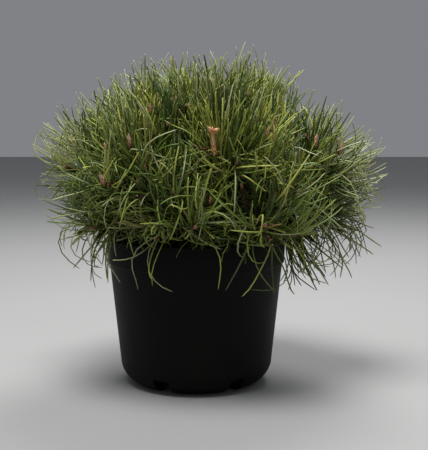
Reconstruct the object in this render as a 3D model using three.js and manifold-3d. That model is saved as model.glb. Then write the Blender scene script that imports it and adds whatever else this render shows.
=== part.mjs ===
// A dwarf mugo pine in a round black nursery container. Millimetres, +Z up.
// The origin is the middle of the container's underside, and the plant's front looks along -Y.
//
// The pine is a broad cushion with a lobe on its right. A short trunk stands in the compost, three whorls
// of boughs leave it, and each bough ends in a mass of foliage. A mass has a stem, a close core where twigs
// and needle bases crowd together, and shoots that stand out of the core with a bud at each tip and long
// needles round it. The needles are fewer and thicker than life, and the core fills in for the rest.

import * as THREE from "three";
import { mergeVertices } from "three/addons/utils/BufferGeometryUtils.js";
import Module from "manifold-3d";

const wasm = await Module();
wasm.setup();

const { Vector3 } = THREE;
const UP = new Vector3(0, 0, 1);
const CLEAR = 0.3; // the gap kept between pieces that meet

// Container: a wall that tapers down to a rounded corner, a collar round its top, and a floor raised on
// feet, with a drain slot between each two feet.
const POT_HEIGHT = 155;
const RIM_RADIUS = 95;
const COLLAR_HEIGHT = 27;
const COLLAR_FOOT_RADIUS = 93.6;
const COLLAR_STEP = 1; // height of the slope under the collar
const WALL_TOP_RADIUS = 91.6;
const WALL_FOOT_RADIUS = 81;
const POT_WALL = 1.8;
const CORNER_HEIGHT = 26;
const FOOT_RADIUS = 56;
const FOOT_WIDTH = 4;
const FLOOR_TOP = 18.5;
const RECESS_HEIGHT = 15;
const RECESS_TOP_RADIUS = 72;
const BOSS_RADIUS = 14;
const BOSS_DRAFT = 1;
const DRAIN_COUNT = 6;
const DRAIN_WIDTH = 18;
const DRAIN_HEIGHT = 16.6;
const DRAIN_INNER_RADIUS = 46;
const FRONT_FOOT_AZIMUTH = -86.7; // degrees
const TURNED_SEGMENTS = 36;

// Compost, a little higher round the trunk
const COMPOST_EDGE = 139;
const COMPOST_MIDDLE = 141;
const COMPOST_MOUND_RADIUS = 26;

// Trunk: it starts below the compost's surface, where it is cut off flat, and bends a little both ways.
const TRUNK_FOOT = COMPOST_MIDDLE + CLEAR;
const TRUNK_START = TRUNK_FOOT - 6;
const TRUNK_TIP = 226;
const TRUNK_BEND = 3;
const TRUNK_RADIUS = 12;
const TRUNK_TIP_RADIUS = 5.4;
const FLARE_RADIUS = 18;
const FLARE_SHARE = 0.2; // of the trunk's length
const TRUNK_RINGS = [0, 0.06, 0.12, 0.2, 0.4, 0.6, 0.8, 1];
const TRUNK_SIDES = 9;

// Boughs leave the trunk in whorls. azimuths and rises are in degrees, rise being the angle above level.
// reaches are the lengths of the boughs from the trunk's middle to their tips. lift is how far the shoots
// at the tips turn up towards the light.
const WHORLS = [
  {
    name: "low",
    height: 166,
    azimuths: [4, 50, 98, 148, 204, 260, 308],
    rises: [6, 7, 6, 7, 8, 9, 12],
    reaches: [74, 56, 41, 42, 44, 40, 56],
    radius: 4.3,
    lift: 0.2,
  },
  {
    name: "mid",
    height: 192,
    azimuths: [-3, 57, 117, 176, 236, 297],
    rises: [13, 24, 24, 12, 23, 23],
    reaches: [82, 48, 46, 53, 47, 50],
    radius: 3.9,
    lift: 0.5,
  },
  {
    name: "high",
    height: 212,
    azimuths: [20, 110, 198, 284],
    rises: [45, 50, 46, 48],
    reaches: [40, 28, 26, 28],
    radius: 3.5,
    lift: 0.35,
  },
];
const WHORL_STAGGER = 8; // every second bough of a whorl leaves the trunk this much higher
const BOUGH_TIP_SHARE = 0.7; // of the bough's radius at the trunk
const BOUGH_SAG = 2.5;
const BOUGH_RINGS = [0, 0.35, 0.7, 1];
const BOUGH_SIDES = 6;

// Masses
const STEM_LENGTH = 7;
const STEM_RADIUS = 2.7;
const STEM_SUNK = 16; // how far the stem runs on inside the core
const CORE_DEPTH = 26; // from the end of the stem to the core's middle
const CORE_RADIUS = 54; // outward, up and down
const CORE_SIDE_RADIUS = 70; // level and sideways, where it meets its neighbours
const CORE_ROUGHNESS = 0.16;
const CORE_GAP = 1.5; // between a core and the edge of its space
const CORE_STEP = 0.5; // by which a corner of the core draws back until it is in its space
const POT_CLEAR = 2; // between the container or the compost and what hangs over it

// Shoots: a leader in the middle of its mass and side shoots round it
const SIDE_SHOOTS = 5;
const SHOOT_LENGTH = 57;
const SHOOT_SPREAD = 44; // degrees between the leader and a side shoot
const BUD_RADIUS = 3.1;
const SHOOT_SIDES = 4;
// The rings of a shoot as [share of its length, radius]: twig, neck, bud.
const SHOOT_RINGS = [
  [0, 2.2],
  [0.8, 2.2],
  [0.91, BUD_RADIUS],
  [1, 0],
];

// Needles, three-sided spikes that stand open at the bottom of a shoot and close at its top
const NEEDLES_ON_SHOOT = 7;
const NEEDLE_LENGTH = 50;
const NEEDLE_RADIUS = 1.5;
const NEEDLE_SIDES = 3;
const FIRST_NEEDLE = 0.42; // share of the shoot's length
const LAST_NEEDLE = 0.84;
const OPEN_ANGLE = 66; // degrees between a shoot and its lowest needle
const CLOSE_ANGLE = 18;
const PRESSINGS = [1, 0.72, 0.45, 0.2]; // shares of the open angle, tried in turn
const GOLDEN_ANGLE = 137.508;
const NEEDLE_APART = 3.2; // least distance between points of two needles
const NEEDLE_SAMPLES = 15;
const ROOT_SAMPLES = 5; // the points near a needle's root, which may crowd
const NEEDLE_DROOP = 18;
const DROOP_BELOW = 0.2; // needles whose heading rises less than this hang over

// How much lengths, in shares, and angles, in degrees, differ from one shoot or needle to the next
const LENGTH_VARIATION = 0.16;
const SPREAD_VARIATION = 10;
const TURN_VARIATION = 24;

function seeded(seed) {
  const modulus = 2147483647;
  let state = (seed * 7919 + 101) % modulus;
  return () => {
    state = (state * 48271) % modulus;
    return state / modulus;
  };
}

// A number that differs from `value` by up to half of `range`.
function varied(value, range, draw) {
  return value + range * (draw() - 0.5);
}

function radians(degrees) {
  return THREE.MathUtils.degToRad(degrees);
}

function directionOf(azimuth, rise) {
  const level = Math.cos(radians(rise));
  return new Vector3(
    level * Math.cos(radians(azimuth)),
    level * Math.sin(radians(azimuth)),
    Math.sin(radians(rise)),
  );
}

// Solids

function solidOf(geometry) {
  const bare = new THREE.BufferGeometry();
  bare.setAttribute("position", geometry.getAttribute("position"));
  if (geometry.index) bare.setIndex(geometry.index);
  const merged = mergeVertices(bare, 1e-3);
  const corners = merged.index.array;
  const triangles = [];
  for (let i = 0; i < corners.length; i += 3) {
    const [a, b, c] = corners.subarray(i, i + 3);
    if (a !== b && b !== c && c !== a) triangles.push(a, b, c);
  }
  return new wasm.Manifold(
    new wasm.Mesh({
      numProp: 3,
      vertProperties: merged.attributes.position.array,
      triVerts: new Uint32Array(triangles),
    }),
  );
}

// The biggest body of a solid, without loose scraps and with its sealed hollows filled.
function mainBody(solid) {
  const bodies = solid.decompose();
  bodies.sort((a, b) => b.volume() - a.volume());
  return bodies[0];
}

function geometryOf(solid) {
  const mesh = solid.getMesh();
  const geometry = new THREE.BufferGeometry();
  geometry.setAttribute("position", new THREE.BufferAttribute(mesh.vertProperties, 3));
  geometry.setIndex(new THREE.BufferAttribute(mesh.triVerts, 1));
  geometry.computeVertexNormals();
  return geometry;
}

// A closed tube along a curve. rings lists [share of the length, radius]. A last radius of 0 is a point.
function taperedTube(curve, rings, sides) {
  const steps = 50;
  const frames = curve.computeFrenetFrames(steps, false);
  const positions = [];
  for (const [share, radius] of rings) {
    const centre = curve.getPointAt(share);
    const normal = frames.normals[Math.round(share * steps)];
    const binormal = frames.binormals[Math.round(share * steps)];
    for (let k = 0; k < (radius > 0 ? sides : 1); k++) {
      const angle = (2 * Math.PI * k) / sides;
      const corner = centre
        .clone()
        .addScaledVector(normal, radius * Math.cos(angle))
        .addScaledVector(binormal, radius * Math.sin(angle));
      positions.push(...corner.toArray());
    }
  }
  const triangles = [];
  const lastRing = rings.length - 1;
  const pointed = rings[lastRing][1] === 0;
  for (let ring = 0; ring < lastRing; ring++) {
    const low = ring * sides;
    const high = low + sides;
    for (let k = 0; k < sides; k++) {
      const next = (k + 1) % sides;
      if (pointed && ring === lastRing - 1) {
        triangles.push(low + k, low + next, high);
      } else {
        triangles.push(low + k, low + next, high + next);
        triangles.push(low + k, high + next, high + k);
      }
    }
  }
  const top = lastRing * sides;
  for (let k = 1; k < sides - 1; k++) {
    triangles.push(0, k + 1, k);
    if (!pointed) triangles.push(top, top + k, top + k + 1);
  }
  const geometry = new THREE.BufferGeometry();
  geometry.setAttribute("position", new THREE.Float32BufferAttribute(positions, 3));
  geometry.setIndex(triangles);
  return solidOf(geometry);
}

// A solid turned about the Z axis from a profile of [radius, height] points, bottom first.
function turned(points) {
  const profile = points.map(([radius, height]) => new THREE.Vector2(radius, height));
  return solidOf(new THREE.LatheGeometry(profile, TURNED_SEGMENTS).rotateX(Math.PI / 2));
}

// Container and compost

// The rounded lower corner of the container, moved in by `inset`, from `fromHeight` up to the wall.
function cornerArc(inset, fromHeight, steps) {
  const width = WALL_FOOT_RADIUS - FOOT_RADIUS - inset;
  const tall = CORNER_HEIGHT - inset;
  const start = Math.acos(Math.min(1, (CORNER_HEIGHT - fromHeight) / tall));
  const points = [];
  for (let i = 0; i <= steps; i++) {
    const angle = start + ((Math.PI / 2 - start) * i) / steps;
    points.push([FOOT_RADIUS + width * Math.sin(angle), CORNER_HEIGHT - tall * Math.cos(angle)]);
  }
  return points;
}

// The profile of the container's inside up to the collar's slope, moved in by `gap`.
function cavityProfile(gap) {
  const inset = POT_WALL + gap;
  const collarFoot = POT_HEIGHT - COLLAR_HEIGHT + COLLAR_STEP + gap;
  return [
    [0, FLOOR_TOP + gap],
    ...cornerArc(inset, FLOOR_TOP + gap, 2),
    [WALL_TOP_RADIUS - inset, collarFoot],
    [COLLAR_FOOT_RADIUS - inset, collarFoot + COLLAR_STEP],
  ];
}

function makeDrainSlot(k) {
  const length = RIM_RADIUS - DRAIN_INNER_RADIUS;
  const azimuth = FRONT_FOOT_AZIMUTH + (360 * (k + 0.5)) / DRAIN_COUNT;
  const slot = new THREE.BoxGeometry(length, DRAIN_WIDTH, 2 * DRAIN_HEIGHT)
    .translate(DRAIN_INNER_RADIUS + length / 2, 0, 0)
    .rotateZ(radians(azimuth));
  return solidOf(slot);
}

function makePot() {
  const collarFoot = POT_HEIGHT - COLLAR_HEIGHT;
  let pot = turned([
    [0, 0],
    [BOSS_RADIUS, 0],
    [BOSS_RADIUS + BOSS_DRAFT, RECESS_HEIGHT],
    [RECESS_TOP_RADIUS, RECESS_HEIGHT],
    [FOOT_RADIUS - FOOT_WIDTH, 0],
    ...cornerArc(0, 0, 5),
    [WALL_TOP_RADIUS, collarFoot],
    [COLLAR_FOOT_RADIUS, collarFoot + COLLAR_STEP],
    [RIM_RADIUS, POT_HEIGHT],
    [RIM_RADIUS - POT_WALL, POT_HEIGHT],
    ...cavityProfile(0).reverse(),
  ]);
  for (let k = 0; k < DRAIN_COUNT; k++) pot = pot.subtract(makeDrainSlot(k));
  return pot;
}

function makeCompost() {
  const collarShare = (COMPOST_EDGE - POT_HEIGHT + COLLAR_HEIGHT) / COLLAR_HEIGHT;
  const wall = THREE.MathUtils.lerp(COLLAR_FOOT_RADIUS, RIM_RADIUS, collarShare);
  return turned([
    ...cavityProfile(CLEAR),
    [wall - POT_WALL - CLEAR, COMPOST_EDGE],
    [COMPOST_MOUND_RADIUS, COMPOST_MIDDLE],
    [0, COMPOST_MIDDLE],
  ]);
}

// What hanging foliage keeps clear of: the container, and all that is below the compost's surface.
function makePotSurround() {
  const outer = RIM_RADIUS + POT_CLEAR;
  const inner = RIM_RADIUS - POT_WALL - POT_CLEAR;
  return turned([
    [0, -POT_CLEAR],
    [outer, -POT_CLEAR],
    [outer, POT_HEIGHT + POT_CLEAR],
    [inner, POT_HEIGHT + POT_CLEAR],
    [inner, COMPOST_MIDDLE + POT_CLEAR],
    [0, COMPOST_MIDDLE + POT_CLEAR],
  ]);
}

// Trunk and boughs

const trunkHeight = TRUNK_TIP - TRUNK_START;
const trunkCurve = new THREE.CatmullRomCurve3([
  new Vector3(0, 0, TRUNK_START),
  new Vector3(TRUNK_BEND, -TRUNK_BEND / 2, TRUNK_START + trunkHeight / 3),
  new Vector3(-TRUNK_BEND, TRUNK_BEND / 2, TRUNK_START + (trunkHeight * 2) / 3),
  new Vector3(TRUNK_BEND, 0, TRUNK_TIP),
]);

// The trunk's radius, with its root flare, at a share of its length.
function trunkRadius(share) {
  const shaft = THREE.MathUtils.lerp(TRUNK_RADIUS, TRUNK_TIP_RADIUS, share);
  const flare = Math.max(0, 1 - share / FLARE_SHARE) ** 2;
  return shaft + (FLARE_RADIUS - TRUNK_RADIUS) * flare;
}

function makeTrunk(grow) {
  const rings = TRUNK_RINGS.map((share) => [share, trunkRadius(share) + grow]);
  const buried = new THREE.BoxGeometry(4 * FLARE_RADIUS, 4 * FLARE_RADIUS, 2 * FLARE_RADIUS);
  buried.translate(0, 0, TRUNK_FOOT - FLARE_RADIUS);
  return taperedTube(trunkCurve, rings, TRUNK_SIDES).subtract(solidOf(buried));
}

function boughsOf(whorl) {
  return whorl.azimuths.map((azimuth, k) => {
    const height = whorl.height + WHORL_STAGGER * (k % 2);
    const root = trunkCurve.getPointAt((height - TRUNK_START) / trunkHeight);
    const tip = root.clone().addScaledVector(directionOf(azimuth, whorl.rises[k]), whorl.reaches[k]);
    const middle = root.clone().lerp(tip, 0.5).addScaledVector(UP, -BOUGH_SAG);
    const curve = new THREE.QuadraticBezierCurve3(root, middle, tip);
    return { name: `${whorl.name}_${k + 1}`, curve, radius: whorl.radius, lift: whorl.lift };
  });
}

const boughs = WHORLS.flatMap(boughsOf);

function makeBough(bough, grow) {
  const tip = bough.radius * BOUGH_TIP_SHARE;
  const rings = BOUGH_RINGS.map((share) => [
    share,
    THREE.MathUtils.lerp(bough.radius, tip, share) + grow,
  ]);
  return taperedTube(bough.curve, rings, BOUGH_SIDES);
}

const aroundTrunk = makeTrunk(CLEAR);
const keepOut = wasm.Manifold.union([
  makePotSurround(),
  aroundTrunk,
  ...boughs.map((bough) => makeBough(bough, CLEAR)),
]);

function isClear(solid) {
  return solid.intersect(keepOut).isEmpty();
}

// Masses of foliage

const masses = boughs.map((bough, k) => {
  const heading = bough.curve.getTangentAt(1);
  const foot = bough.curve.getPointAt(1).addScaledVector(heading, CLEAR);
  const centre = foot.clone().addScaledVector(heading, STEM_LENGTH + CORE_DEPTH);
  return { name: bough.name, seed: k + 1, lift: bough.lift, heading, foot, centre };
});

// A mass's space is all that lies nearer to its centre than to any other mass's. This tells whether points
// lie in it, `margin` or more from its edge.
function staysHome(points, mass, margin) {
  return points.every((point) =>
    masses.every((other) => {
      if (other === mass) return true;
      const nearer = point.distanceToSquared(other.centre) - point.distanceToSquared(mass.centre);
      return nearer / (2 * other.centre.distanceTo(mass.centre)) > margin;
    }),
  );
}

function makeStem(mass) {
  const end = mass.foot.clone().addScaledVector(mass.heading, STEM_LENGTH + STEM_SUNK);
  const rings = [0, 1].map((share) => [share, STEM_RADIUS]);
  return taperedTube(new THREE.LineCurve3(mass.foot, end), rings, BOUGH_SIDES);
}

// The radius of a core in a direction from its middle.
function coreRadius(mass, direction) {
  const sideways = (1 - direction.dot(mass.heading) ** 2) * (1 - Math.abs(direction.z));
  return THREE.MathUtils.lerp(CORE_RADIUS, CORE_SIDE_RADIUS, sideways);
}

// The core fills its space out to its radius, from half way along the stem. Each corner starts at the
// radius and draws back until it is in that space.
function makeCore(mass) {
  const draw = seeded(mass.seed + masses.length);
  const ball = new THREE.IcosahedronGeometry(1, 1).deleteAttribute("normal").deleteAttribute("uv");
  const core = mergeVertices(ball);
  const corners = core.getAttribute("position");
  const corner = new Vector3();
  const isInside = () =>
    staysHome([corner], mass, CORE_GAP) &&
    corner.clone().sub(mass.foot).dot(mass.heading) > STEM_LENGTH / 2;
  for (let i = 0; i < corners.count; i++) {
    const direction = new Vector3().fromBufferAttribute(corners, i).normalize();
    let radius = coreRadius(mass, direction) * (1 - CORE_ROUGHNESS * draw());
    corner.copy(mass.centre).addScaledVector(direction, radius);
    while (!isInside()) {
      radius -= CORE_STEP;
      corner.copy(mass.centre).addScaledVector(direction, radius);
    }
    corners.setXYZ(i, corner.x, corner.y, corner.z);
  }
  return solidOf(core).subtract(keepOut);
}

function shootsOf(mass) {
  const draw = seeded(mass.seed);
  const outward = mass.heading.clone().addScaledVector(UP, mass.lift).normalize();
  const across = new Vector3().crossVectors(UP, outward).normalize();
  const firstTurn = 360 * draw();
  return Array.from({ length: SIDE_SHOOTS + 1 }, (_, k) => {
    const spread = k === 0 ? 0 : varied(SHOOT_SPREAD, SPREAD_VARIATION, draw);
    const turn = varied(firstTurn + (360 * k) / SIDE_SHOOTS, TURN_VARIATION, draw);
    const length = varied(SHOOT_LENGTH, SHOOT_LENGTH * LENGTH_VARIATION, draw);
    const heading = outward
      .clone()
      .applyAxisAngle(across, radians(spread))
      .applyAxisAngle(outward, radians(turn));
    const tip = mass.centre.clone().addScaledVector(heading, length);
    const curve = new THREE.LineCurve3(mass.centre, tip);
    return { curve, heading, draw: seeded(mass.seed * masses.length + k) };
  });
}

function isApart(points, placed) {
  return points.every((point) => placed.every((other) => other.distanceTo(point) > NEEDLE_APART));
}

// One needle of a shoot. Where it would leave the mass's space, touch a limb or cross a needle placed
// before it, it is pressed closer to the shoot, and it is left out if that isn't enough. `placed` holds
// points along the needles so far.
function makeNeedle(shoot, mass, k, placed) {
  const { curve: stalk, heading: along, draw } = shoot;
  const order = (k + 0.5) / NEEDLES_ON_SHOOT;
  const root = stalk.getPointAt(THREE.MathUtils.lerp(FIRST_NEEDLE, LAST_NEEDLE, order));
  const side = new Vector3().crossVectors(along, UP).normalize();
  side.applyAxisAngle(along, radians(varied(GOLDEN_ANGLE * k, TURN_VARIATION, draw)));
  const open = radians(THREE.MathUtils.lerp(OPEN_ANGLE, CLOSE_ANGLE, order));
  const length = varied(NEEDLE_LENGTH, NEEDLE_LENGTH * LENGTH_VARIATION, draw);
  for (const pressing of PRESSINGS) {
    const angle = open * pressing;
    const heading = along.clone().multiplyScalar(Math.cos(angle)).addScaledVector(side, Math.sin(angle));
    const middle = root.clone().addScaledVector(heading, length / 2);
    const tip = root.clone().addScaledVector(heading, length);
    const hangs = heading.z < DROOP_BELOW;
    if (hangs) tip.addScaledVector(UP, -NEEDLE_DROOP);
    if (!staysHome([root, middle, tip], mass, NEEDLE_RADIUS + CLEAR)) continue;
    const curve = new THREE.QuadraticBezierCurve3(root, middle, tip);
    const free = curve.getSpacedPoints(NEEDLE_SAMPLES).slice(ROOT_SAMPLES);
    if (!isApart(free, placed)) continue;
    const waist = hangs ? [[0.6, NEEDLE_RADIUS]] : [];
    const needle = taperedTube(curve, [[0, NEEDLE_RADIUS], ...waist, [1, 0]], NEEDLE_SIDES);
    if (!isClear(needle)) continue;
    placed.push(...free);
    return needle;
  }
  return null;
}

function makeMass(mass) {
  const pieces = [makeStem(mass), makeCore(mass)];
  const placed = [];
  for (const shoot of shootsOf(mass)) {
    const twig = taperedTube(shoot.curve, SHOOT_RINGS, SHOOT_SIDES);
    if (!staysHome([shoot.curve.v2], mass, BUD_RADIUS + CLEAR) || !isClear(twig)) continue;
    pieces.push(twig);
    for (let k = 0; k < NEEDLES_ON_SHOOT; k++) {
      const needle = makeNeedle(shoot, mass, k, placed);
      if (needle) pieces.push(needle);
    }
  }
  return mainBody(wasm.Manifold.union(pieces));
}

// Assembly

const BLACK_PLASTIC = { color: 0x17181a, roughness: 0.55, metalness: 0 };
const DARK_COMPOST = { color: 0x2e2119, roughness: 1, metalness: 0 };
const BARK = { color: 0x6b4f3b, roughness: 0.9, metalness: 0 };
const NEEDLE_GREEN = { color: 0x5d7a2e, roughness: 0.5, metalness: 0 };

const plant = new THREE.Group();
plant.name = "potted_mugo_pine";

function addNode(name, solid, look) {
  const mesh = new THREE.Mesh(geometryOf(solid), new THREE.MeshStandardMaterial(look));
  mesh.name = name;
  plant.add(mesh);
}

addNode("pot", makePot(), BLACK_PLASTIC);
addNode("compost", makeCompost(), DARK_COMPOST);
addNode("trunk", makeTrunk(0), BARK);
for (const bough of boughs) {
  addNode(`bough_${bough.name}`, makeBough(bough, 0).subtract(aroundTrunk), BARK);
}
for (const mass of masses) addNode(`needles_${mass.name}`, makeMass(mass), NEEDLE_GREEN);

export default plant;
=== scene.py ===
# %% [markdown]
# # A potted mugo pine
#
# This lesson dresses the CAD model of a young mugo pine in a black nursery container. The CAD solids give
# every size. Here they get what a camera sees: thousands of slim needles in pairs, scaly buds, flaking
# bark, crumbly compost and dull black plastic.
#
# Sizes are in millimetres and Blender works in metres, so each mesh is scaled by `MM`. The container stands
# on the floor with its middle at the origin, and the camera looks along +Y.

import bmesh
import bpy
import numpy as np
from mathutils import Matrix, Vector


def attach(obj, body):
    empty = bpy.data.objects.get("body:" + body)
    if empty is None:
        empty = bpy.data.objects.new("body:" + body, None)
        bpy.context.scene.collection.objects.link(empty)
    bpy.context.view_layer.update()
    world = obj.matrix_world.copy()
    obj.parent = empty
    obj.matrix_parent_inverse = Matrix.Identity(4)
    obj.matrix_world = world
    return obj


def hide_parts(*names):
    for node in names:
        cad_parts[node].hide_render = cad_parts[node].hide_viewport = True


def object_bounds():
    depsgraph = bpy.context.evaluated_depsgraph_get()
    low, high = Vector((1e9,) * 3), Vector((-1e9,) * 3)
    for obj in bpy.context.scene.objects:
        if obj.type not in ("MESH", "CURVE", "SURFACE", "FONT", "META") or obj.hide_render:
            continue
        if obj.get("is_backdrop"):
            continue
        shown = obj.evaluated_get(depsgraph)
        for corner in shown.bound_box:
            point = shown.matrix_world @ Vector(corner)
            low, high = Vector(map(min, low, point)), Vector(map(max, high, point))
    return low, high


MM = 0.001
ROOT = "root"
UP = np.array([0.0, 0.0, 1.0])

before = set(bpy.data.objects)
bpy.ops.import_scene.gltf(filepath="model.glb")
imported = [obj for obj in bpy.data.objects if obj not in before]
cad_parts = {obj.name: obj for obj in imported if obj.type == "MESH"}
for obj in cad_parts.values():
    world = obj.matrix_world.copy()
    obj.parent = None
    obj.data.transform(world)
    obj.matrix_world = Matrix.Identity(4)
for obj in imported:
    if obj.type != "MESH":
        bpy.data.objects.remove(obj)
scene = bpy.context.scene
cad_low, cad_high = (np.array(corner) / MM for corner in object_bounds())
print("the CAD model reaches from", cad_low.round(1), "to", cad_high.round(1), "mm")

# %% [markdown]
# ## Camera and light
#
# The photograph was taken from a metre away, slightly from the right and from above the middle of the crown.
# Its field of view gives the focal length. A big lamp above, a weaker one behind and a pale room give the
# soft light that nursery catalogues use. Softness comes from the size of the lamps.

# %% Camera
CAMERA_PLACE = (19, -1000, 279)
CAMERA_TIP_DOWN = 6.4  # degrees
PHOTO_SIZE = (428, 450)
FOCAL_PIXELS = 946  # focal length as a count of the photograph's pixels
SENSOR = 36


def put(name, data):
    """A new object in the scene."""
    made = bpy.data.objects.new(name, data)
    scene.collection.objects.link(made)
    return made


camera_data = bpy.data.cameras.new("camera")
camera_data.sensor_width = SENSOR
camera_data.lens = FOCAL_PIXELS * SENSOR / max(PHOTO_SIZE)
camera = put("camera", camera_data)
camera.location = np.array(CAMERA_PLACE) * MM
camera.rotation_euler = (np.radians(90 - CAMERA_TIP_DOWN), 0, 0)
scene.camera = camera
print("lens", round(camera_data.lens, 2), "mm")

# %% Lamps and room
LAMPS = {"softbox_above": ((-0.2, -0.5, 1.9), 40), "softbox_behind": ((0.3, 0.9, 1.6), 22)}
LAMP_SIZE = 0.9
CROWN_MIDDLE = (0, 0, 0.22)
ROOM_COLOUR, ROOM_STRENGTH = (0.9, 0.93, 1.0, 1), 0.24

for name, (place, power) in LAMPS.items():
    lamp = bpy.data.lights.new(name, "AREA")
    lamp.shape, lamp.size, lamp.energy = "DISK", LAMP_SIZE, power
    holder = put(name, lamp)
    holder.location = place
    direction = Vector(np.subtract(CROWN_MIDDLE, place))
    holder.rotation_euler = direction.to_track_quat("-Z", "Y").to_euler()

room = bpy.data.worlds.new("pale_room")
room.use_nodes = True
background = room.node_tree.nodes["Background"].inputs
background["Color"].default_value = ROOM_COLOUR
background["Strength"].default_value = ROOM_STRENGTH
scene.world = room
scene.view_settings.view_transform = "Standard"
print("lamps:", *LAMPS)

# %% [markdown]
# ## Arithmetic on sockets
#
# A material is a graph of nodes, and so is a Geometry Nodes tree. Both are easier to read as sums. `Wire`
# holds one output and adds a Math node for each operator, and `Graph.node` makes any other node.


# %% Wires and graphs
def pick(sockets, key):
    """A node's socket by its identifier, its name or its number."""
    by_identifier = [socket for socket in sockets if socket.identifier == key]
    return by_identifier[0] if by_identifier else sockets[key]


def operator(operation, reflected=False):
    def combine(wire, other):
        return wire.math(operation, *((other, wire) if reflected else (wire, other)))

    return combine


class Wire:
    """One output of a node, which adds Math nodes to its graph when it is used in arithmetic."""

    __add__ = __radd__ = operator("ADD")
    __mul__ = __rmul__ = operator("MULTIPLY")
    __sub__, __rsub__ = operator("SUBTRACT"), operator("SUBTRACT", reflected=True)
    __truediv__, __rtruediv__ = operator("DIVIDE"), operator("DIVIDE", reflected=True)
    __pow__ = operator("POWER")

    def __init__(self, graph, socket):
        self.graph, self.socket = graph, socket

    def math(self, operation, *values):
        return self.graph.node("ShaderNodeMath", {"operation": operation}, values)

    def circle(self):
        """The cosine and the sine of an angle in radians."""
        return self.math("COSINE", self), self.math("SINE", self)

    def step(self, low, high):
        """A soft step from 0 at `low` to 1 at `high`."""
        ends = {"Value": self, "From Min": low, "From Max": high}
        return self.graph.node("ShaderNodeMapRange", {"interpolation_type": "SMOOTHSTEP"}, ends)


class Graph:
    """A node tree to which nodes are added in one line each."""

    def __init__(self, tree):
        self.tree = tree

    def node(self, kind, settings=None, inputs=(), output=0):
        """A node's output. The inputs are a dictionary by name, or a list in the node's own order."""
        made = self.tree.nodes.new(kind)
        for name, value in (settings or {}).items():
            setattr(made, name, value)
        for key, value in inputs.items() if isinstance(inputs, dict) else enumerate(inputs):
            socket = pick(made.inputs, key)
            if isinstance(value, Wire):
                self.tree.links.new(value.socket, socket)
            else:
                socket.default_value = value
        return Wire(self, pick(made.outputs, output))


# %% [markdown]
# ## Materials
#
# `Finish` is a graph with a Principled shader. What is the same all over a surface is set on the shader's
# own sockets, and what changes over it is worked out from Object coordinates, which here are places in the
# room, because every piece is made where it stands.


# %% A finish
class Finish(Graph):
    def __init__(self, name, **constants):
        self.material = bpy.data.materials.new(name)
        self.material.use_nodes = True
        super().__init__(self.material.node_tree)
        self.shader = self.tree.nodes["Principled BSDF"]
        for socket, value in constants.items():
            self.shader.inputs[socket.replace("_", " ")].default_value = value

    def place(self):
        return self.node("ShaderNodeTexCoord", output="Object")

    def attribute(self, name):
        return self.node("ShaderNodeAttribute", {"attribute_name": name}, output="Fac")

    def noise(self, size, detail, roughness=0.55, stretch=None):
        """Soft noise whose lumps are about `size` millimetres across, where they aren't stretched."""
        vector = self.place()
        if stretch:
            vector = self.node("ShaderNodeVectorMath", {"operation": "MULTIPLY"}, (vector, stretch))
        inputs = {"Vector": vector, "Scale": 1 / (size * MM), "Detail": detail, "Roughness": roughness}
        return self.node("ShaderNodeTexNoise", inputs=inputs)

    def mixed(self, share, low, high):
        """The colour `low` where share is 0 and `high` where it is 1."""
        inputs = {"Factor_Float": share, "A_Color": low, "B_Color": high}
        return self.node("ShaderNodeMix", {"data_type": "RGBA"}, inputs, "Result_Color")

    def feed(self, colour, roughness=None, height=None, depth=0.1):
        """Joins a pattern to the shader. The bump's relief is `depth` millimetres deep."""
        bump = height and self.node("ShaderNodeBump", inputs={"Height": height, "Distance": depth * MM})
        for socket, wire in (("Base Color", colour), ("Roughness", roughness), ("Normal", bump)):
            if wire:
                self.tree.links.new(wire.socket, self.shader.inputs[socket])
        return self.material


def paint(red, green, blue):
    """A colour from the 0 to 255 that a paint program shows, as the linear light that a shader uses."""
    share = np.array([red, green, blue]) / 255
    linear = np.where(share <= 0.04045, share / 12.92, ((share + 0.055) / 1.055) ** 2.4)
    return (*(float(part) for part in linear), 1.0)


# %% [markdown]
# The container is moulded black plastic. It is very dark and dull, with a fine grain from the mould, and it
# carries a little dried dust, more of it low down where water splashes.

# %% Black plastic
POT_HEIGHT = 155

plastic = Finish("black_plastic", Specular_IOR_Level=0.1)
level = plastic.node("ShaderNodeSeparateXYZ", inputs=[plastic.place()], output="Z")
high = level * (1 / (POT_HEIGHT * MM))
cloudy = plastic.noise(34, 4)
specks = plastic.noise(1.7, 2).step(0.52, 0.72)
scuffs = plastic.noise(1.1, 2, stretch=(1, 1, 0.06)).step(0.6, 0.78)
dust = (cloudy.step(0.42, 0.75) * (1.1 - high) * (0.35 + 0.65 * specks)) * 0.5
black_plastic = plastic.feed(
    colour=plastic.mixed(dust, paint(9, 9, 8), paint(34, 32, 27)),
    roughness=0.5 + 0.18 * cloudy + 0.12 * dust - 0.08 * scuffs,
    height=plastic.noise(0.5, 2) + 0.3 * scuffs,
    depth=0.05,
)

# %% [markdown]
# Compost is peat with bits of composted bark. It goes from nearly black in the moist hollows to a warm brown
# on dry crumbs, so a coarse pattern and a fine one are mixed.

# %% Compost
peat = Finish("peat_compost", Roughness=0.95, Specular_IOR_Level=0.2)
fibres = peat.noise(1.2, 3, 0.7)
dry = (0.5 * peat.noise(9, 4) + 0.5 * fibres).step(0.42, 0.66)
peat_colour = peat.mixed(dry, paint(26, 19, 14), paint(86, 63, 45))
peat_compost = peat.feed(peat_colour, height=fibres, depth=0.6)

chip = Finish("bark_chip", Specular_IOR_Level=0.25)
grain = chip.noise(1.0, 3, 0.7)
chip_colour = chip.mixed(grain.step(0.35, 0.65), paint(58, 38, 27), paint(128, 92, 64))
bark_chip = chip.feed(chip_colour, roughness=0.75 + 0.2 * grain, height=grain, depth=0.3)

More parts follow.
